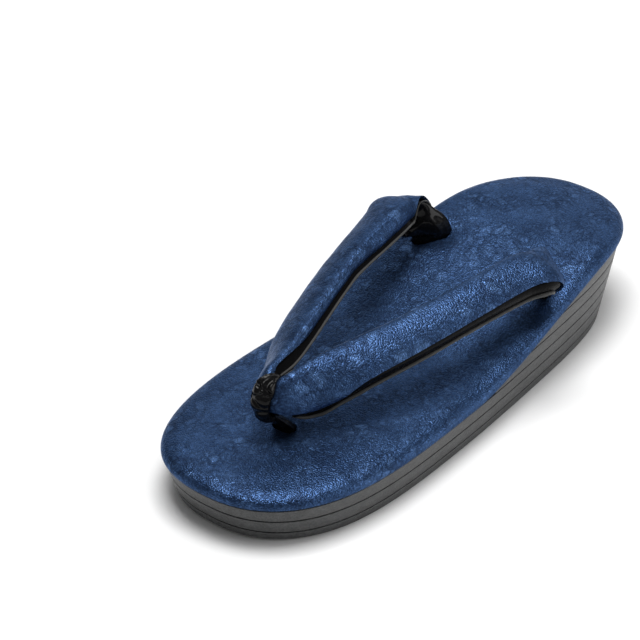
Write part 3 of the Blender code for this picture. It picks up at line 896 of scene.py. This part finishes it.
# share of the strap, then the drop of the outer lip as a share of the strap's thickness, its reach
# as a share of the half width, and the same two for the inner lip
liningShape = (
    (0.00, 0.02, 0.90, 0.02, 0.80),
    (0.06, 0.04, 1.12, 0.04, 0.84),
    (0.09, 0.10, 1.34, 0.08, 0.87),
    (0.13, 0.16, 1.40, 0.10, 0.90),
    (0.20, 0.26, 1.16, 0.08, 0.92),
    (0.28, 0.10, 1.06, 0.06, 0.95),
    (0.40, 0.05, 1.04, 0.05, 0.97),
    (0.60, 0.05, 1.04, 0.02, 0.97),
    (0.85, 0.05, 1.02, 0.00, 0.97),
    (0.89, 0.02, 1.00, -0.04, 0.97),
    (0.92, -0.04, 0.97, -0.12, 0.97),
    (0.95, -0.40, 0.93, -0.38, 0.95),
    (1.00, -0.45, 0.90, -0.68, 0.88),
)


def lipMiddles(entry):
    # outer and inner lip, across and up from the strap's middle
    outerDrop, outer, innerDrop, inner = (
        tableAt(liningShape, entry["share"], column) for column in (1, 2, 3, 4))
    under = entry["halfThickness"] * math.sin(math.radians(lining["under"]))
    under += lining["underGap"] + lining["lip"]
    outer = outer * entry["halfWidth"] - lining["lip"]
    inner = inner * entry["halfWidth"] - lining["lip"]
    side = math.copysign(1.0, entry["middle"].x)
    innerDrop += sagAt(entry)
    heights = [-(under + drop * strap["thickness"]) for drop in (outerDrop, innerDrop)]
    edge = side * framePoint(entry, -inner - lining["lip"], heights[1]).x
    if edge < lining["crotchGap"]:
        inner -= (lining["crotchGap"] - edge) / abs(entry["outward"].x)
    return (outer, heights[0]), (inner, heights[1])


def liningWall(entry, edge, lip):
    # one side of the tray, from under the leather's edge down to the lip
    top = edgeAngle(edge, entry["share"]) + math.radians(lining["tuck"])
    foot = min(math.radians(lining["wallFoot"]), top - math.radians(lining["leastWall"]))
    points = []
    for step in range(lining["wallPoints"] + 1):
        share = step / lining["wallPoints"]
        angle = top + (foot - top) * share
        reach = (entry["halfWidth"] - lining["recess"]) * math.cos(angle)
        height = (entry["halfThickness"] - lining["recess"]) * math.sin(angle)
        blend = share ** 2
        points.append((reach + (lip[0] - reach) * blend, height + (lip[1] - height) * blend))
    return points


def liningSection(entry):
    outer, inner = lipMiddles(entry)
    section = liningWall(entry, outerEdge, outer)
    for step in range(1, lining["floorPoints"]):
        share = step / lining["floorPoints"]
        low = outer[1] + (inner[1] - outer[1]) * share - 0.5 * lining["lip"]
        section.append((outer[0] - (outer[0] + inner[0]) * share, low))
    innerWall = liningWall(entry, innerEdge, inner)
    section += [(-across, height) for across, height in reversed(innerWall)]
    return section


def makeLining(label, frames):
    kept = [entry for entry in frames if lining["start"] <= entry["share"] <= lining["end"]]
    verts = []
    for entry in kept:
        section = liningSection(entry)
        verts += [framePoint(entry, across, height) for across, height in section]
    faces = cappedSweep(len(kept), len(section))
    makePiece("lining" + label, verts, faces, liningPatent, "strap_lining_" + label.lower())
    for edgeLabel, index, sign, radius in (("Outer", 0, 1.0, lining["lip"]),
                                           ("Inner", 1, -1.0, lining["innerLip"])):
        stop = lining["lipEnds"][index]
        along = [entry for entry in frames if lining["start"] <= entry["share"] <= stop]
        makeLip("lip" + label + edgeLabel, along, index, sign, radius)


def makeLip(name, kept, index, sign, fullRadius):
    # rolled edge of the lining: black patent given a grey base colour, a painted sheen for the
    # light it reflects, which shows as a thin grey line
    verts = []
    for number, entry in enumerate(kept):
        across, height = lipMiddles(entry)[index]
        ends = min(number, len(kept) - 1 - number) / 3.0
        radius = fullRadius * min(0.3 + 0.7 * ends, 1.0)
        radius *= 1.0 + 0.16 * noise.noise(entry["middle"] / 0.004)
        for step in range(lining["lipPoints"]):
            angle = 2.0 * math.pi * step / lining["lipPoints"]
            verts.append(framePoint(entry, sign * (across + radius * math.cos(angle)),
                                    height + radius * math.sin(angle)))
    faces = cappedSweep(len(kept), lining["lipPoints"])
    makePiece(name, verts, faces, patentEdgePaintedSheen, None)


makeLining("Right", strapFrames)
makeLining("Left", leftFrames)
print("linings built")


# Rear ends: the patent gathers in a tongue that goes down its slot

strapEnd = {
    "thickness": 0.0068,
    "points": 72,
    "steps": 60,
    "foldDepth": 0.00026,
    "folds": 5,
    "fineFolds": 11,
}
# place: up to 1 inside the strap, 1 to 2 from its mouth to the footbed, 2 to 3 down the slot;
# then the width, and the half thickness above and below
endShape = (
    (0.917, 0.70, 0.16, 0.24),
    (0.944, 0.84, 0.20, 0.34),
    (0.972, 0.94, 0.28, 0.42),
    (1.000, 1.00, 0.33, 0.47),
    (1.350, 1.08, 0.40, 0.50),
    (1.700, 1.06, 0.46, 0.50),
    (2.000, 0.98, 0.46, 0.46),
    (2.600, 0.94, 0.44, 0.44),
)


def makeStrapEnd(label, side, frames):
    mouth = frames[-1]["middle"]
    room = frames[-1]["halfWidth"] - strap["skin"]
    surface = Vector((side * slot["out"], slot["y"], footbedTop(slot["y"])))
    wideSlot, thinSlot = slotAxes(side)
    first, last = endShape[0][0], endShape[-1][0]
    verts = []
    for step in range(strapEnd["steps"] + 1):
        place = first + (last - first) * step / strapEnd["steps"]
        width, above, below = (tableAt(endShape, place, column) for column in (1, 2, 3))
        entry = frames[min(round(place * (len(frames) - 1)), len(frames) - 1)]
        blend = min(max(place - 1.0, 0.0), 1.0)
        middle = entry["middle"] if place <= 1.0 else mouth.lerp(surface, blend)
        if place > 2.0:
            middle = surface + Vector((0.0, 0.0, -(place - 2.0) * sole["cushion"]))
        wide = entry["outward"].lerp(wideSlot, blend).normalized()
        thin = entry["upward"].lerp(thinSlot, blend).normalized()
        gather = smoothStep((place - 0.98) / 0.5)
        for point in range(strapEnd["points"]):
            angle = 2.0 * math.pi * point / strapEnd["points"]
            depth = above if math.sin(angle) > 0.0 else below
            fold = math.cos(strapEnd["folds"] * angle + 1.3 + 1.2 * place)
            fold += 0.4 * math.cos(strapEnd["fineFolds"] * angle - 2.0 * place)
            grow = gather * strapEnd["foldDepth"] * fold
            verts.append(middle + (width * room + grow) * math.cos(angle) * wide
                         + (depth * strapEnd["thickness"] + grow) * math.sin(angle) * thin)
    faces = cappedSweep(strapEnd["steps"] + 1, strapEnd["points"])
    makePiece("strapEnd" + label, verts, faces, patent, "strap_end_" + label.lower())


makeStrapEnd("Right", 1, strapFrames)
makeStrapEnd("Left", -1, leftFrames)
print("strap ends built")


# Front loop: a wrinkled patent band round the straps' front turn, with a post down its hole

loop = {
    "width": 0.0088,
    "outside": 0.0009,         # the band's two faces, from the middle of its route
    "inside": 0.0024,
    "wrap": 0.40,              # the band's curve across, as a share of the strap's width
    "left": 0.0010,            # of the sandal's middle
    "steps": 150,
    "across": 24,
    "pleats": 8.0,
    "pleatDepth": 0.00060,
    "pleatPlaces": ((0.7, 0.8), (10.3, 0.7)),    # row of the route, reach
    "foldDepth": 0.00075,
    # row of the route where a fold crosses, its reach and its lean
    "folds": ((1.05, 0.13, 0.16), (1.62, 0.15, -0.22), (2.25, 0.18, 0.20), (2.95, 0.22, -0.14),
              (3.6, 0.22, 0.18)),
}
# back and up from the middle of the front turn, as shares of the strap's thickness and width,
# then the band's width
loopRoute = (
    (0.10, 0.445, 0.80),
    (-0.40, 0.355, 1.06),
    (-0.72, 0.120, 1.02),
    (-0.72, -0.150, 0.94),
    (-0.42, -0.400, 0.80),
    (0.12, -0.490, 0.72),
    (0.62, -0.380, 0.50),
    (0.88, -0.060, 0.36),
    (0.90, 0.200, 0.34),
    (0.62, 0.400, 0.44),
)


def loopRelief(share, around):
    # pleats fan over the top of the band, and soft folds cross its front
    top = sum(math.exp(-((around - row) / reach) ** 2) for row, reach in loop["pleatPlaces"])
    pleats = math.sin(loop["pleats"] * share + 1.6 * math.sin(2.6 * around)) * top
    folds = 0.0
    for centre, reach, lean in loop["folds"]:
        folds -= math.exp(-((around - centre - lean * math.sin(2.4 * share)) / reach) ** 2)
    return loop["pleatDepth"] * pleats + loop["foldDepth"] * folds


def makeLoop(centre):
    count = len(loopRoute)
    keys = list(range(-2, count + 3))
    rows = [loopRoute[key % count] for key in keys]
    verts = []
    for step in range(loop["steps"]):
        around = count * step / loop["steps"]
        back, up, width = (splineAt(keys, [row[column] for row in rows], around)
                           for column in range(3))
        ahead = [splineAt(keys, [row[column] for row in rows], around + 0.05) for column in (0, 1)]
        middle = Vector((0.0, back * strap["thickness"], up * strap["width"]))
        following = Vector((0.0, ahead[0] * strap["thickness"], ahead[1] * strap["width"]))
        inward = Vector((1.0, 0.0, 0.0)).cross((following - middle).normalized())
        half = 0.5 * width * loop["width"]
        radius = loop["wrap"] * strap["width"]
        for layer in (1.0, -1.0):
            for index in range(loop["across"] + 1):
                share = layer * (2.0 * index / loop["across"] - 1.0)
                x = share * half
                sink = radius - math.sqrt(radius ** 2 - x ** 2)
                edge = math.sqrt(max(1.0 - abs(share) ** 4, 0.0))
                sink += edge * (loop["inside"] if layer < 0.0 else -loop["outside"])
                if layer > 0.0:
                    sink -= loopRelief(share, around)
                verts.append(centre + middle + inward * sink + Vector((x, 0.0, 0.0)))
    faces = sweepFaces(loop["steps"], 2 * (loop["across"] + 1), closedPath=True)
    makePiece("frontLoop", verts, faces, patent, "front_loop")


post = {
    "points": 48,
    "steps": 40,
    "startUp": -0.34,          # from the front turn's middle, as a share of the straps' width
    "sink": 0.005,
    "reached": 0.75,           # share of the steps at which it meets the footbed
    "fullAt": 0.6,
    "topWidth": 0.50,          # shares of the front hole's width and depth
    "topDepth": 0.40,
    "holeWidth": 0.96,
    "holeDepth": 0.95,
    "pleat": 0.00030,
    "pleats": 7,
}


def makePost(centre):
    # oval tongue from the band's bottom down and back to the front hole
    top = centre + Vector((0.0, 0.0, post["startUp"] * strap["width"]))
    surface = Vector((0.0, frontHole["y"], footbedTop(frontHole["y"])))
    floor = surface - Vector((0.0, 0.0, post["sink"]))
    verts = []
    for step in range(post["steps"] + 1):
        share = step / post["steps"]
        down = share / post["reached"]
        if down < 1.0:
            middle = top.lerp(surface, 0.5 * smoothStep(down) + 0.5 * down)
        else:
            middle = surface.lerp(floor, (share - post["reached"]) / (1.0 - post["reached"]))
        full = smoothStep(share / post["fullAt"])
        wide = 0.5 * frontHole["width"] * (
            post["topWidth"] + (post["holeWidth"] - post["topWidth"]) * full)
        deep = 0.5 * frontHole["depth"] * (
            post["topDepth"] + (post["holeDepth"] - post["topDepth"]) * full)
        for point in range(post["points"]):
            angle = 2.0 * math.pi * point / post["points"]
            grow = post["pleat"] * math.cos(post["pleats"] * angle + 2.0 * share)
            grow *= smoothStep(share * 2.0)
            verts.append(middle + Vector(((wide + grow) * math.cos(angle),
                                          (deep + grow) * math.sin(angle), 0.0)))
    faces = cappedSweep(post["steps"] + 1, post["points"])
    makePiece("frontPost", verts, faces, patent, None)


turnMiddle = strapFrames[0]["middle"]
makeLoop(turnMiddle - Vector((loop["left"], 0.0, 0.0)))
makePost(turnMiddle)
print("front loop built")


# Floor, lights and camera

studio = {
    "floorColor": (0.90, 0.90, 0.90, 1.0),
    "floorReach": 6.0,
    "floorRoughness": 0.8,
    "floorSpecular": 0.1,
    "worldStrength": 0.23,
    # name, place, width, height, power
    "lamps": (
        ("overheadBox", (-0.02, -0.04, 1.40), 0.75, 0.75, 19.5),
        ("backCard", (-0.70, 1.40, 0.70), 2.0, 0.9, 6.0),
        ("sideCard", (1.60, 0.90, 0.55), 1.2, 0.8, 11.0),
    ),
}


def addAreaLight(name, place, width, height, power):
    data = bpy.data.lights.new(name, "AREA")
    data.shape = "RECTANGLE"
    data.size = width
    data.size_y = height
    data.energy = power
    lamp = bpy.data.objects.new(name, data)
    lamp.location = place
    lamp.rotation_euler = (-Vector(place)).to_track_quat("-Z", "Y").to_euler()
    bpy.context.scene.collection.objects.link(lamp)


def makeStudio():
    mesh = bpy.data.meshes.new("floor")
    reach = studio["floorReach"]
    mesh.from_pydata([(-reach, -reach, 0), (reach, -reach, 0), (reach, reach, 0),
                      (-reach, reach, 0)], [], [(0, 1, 2, 3)])
    floor = bpy.data.objects.new("floor", mesh)
    bpy.context.scene.collection.objects.link(floor)
    paper = bpy.data.materials.new("floorPaper")
    paper.use_nodes = True
    shader = paper.node_tree.nodes["Principled BSDF"]
    shader.inputs["Base Color"].default_value = studio["floorColor"]
    shader.inputs["Roughness"].default_value = studio["floorRoughness"]
    shader.inputs["Specular IOR Level"].default_value = studio["floorSpecular"]
    mesh.materials.append(paper)
    world = bpy.data.worlds.new("softWorld")
    world.use_nodes = True
    world.node_tree.nodes["Background"].inputs["Color"].default_value = (1.0, 1.0, 1.0, 1.0)
    world.node_tree.nodes["Background"].inputs["Strength"].default_value = studio["worldStrength"]
    bpy.context.scene.world = world
    for lampSettings in studio["lamps"]:
        addAreaLight(*lampSettings)
    bpy.context.scene.view_settings.view_transform = "Standard"


# The main view: the camera's place, and its right, up and back directions
mainView = {
    "place": (0.59740, -0.78162, 0.68286),
    "right": (0.76972, 0.63832, 0.00834),
    "up": (-0.35726, 0.41990, 0.83430),
    "back": (0.52905, -0.64516, 0.55125),
    "lens": 168.75,
    "sensor": 36.0,
    "clip": (0.05, 50.0),
}


def makeCamera():
    data = bpy.data.cameras.new("camera")
    data.lens = mainView["lens"]
    data.sensor_width = mainView["sensor"]
    data.clip_start, data.clip_end = mainView["clip"]
    camera = bpy.data.objects.new("camera", data)
    turn = Matrix((mainView["right"], mainView["up"], mainView["back"])).transposed()
    camera.matrix_world = Matrix.Translation(mainView["place"]) @ turn.to_4x4()
    bpy.context.scene.collection.objects.link(camera)
    bpy.context.scene.camera = camera


makeStudio()
makeCamera()
print("studio and camera ready")
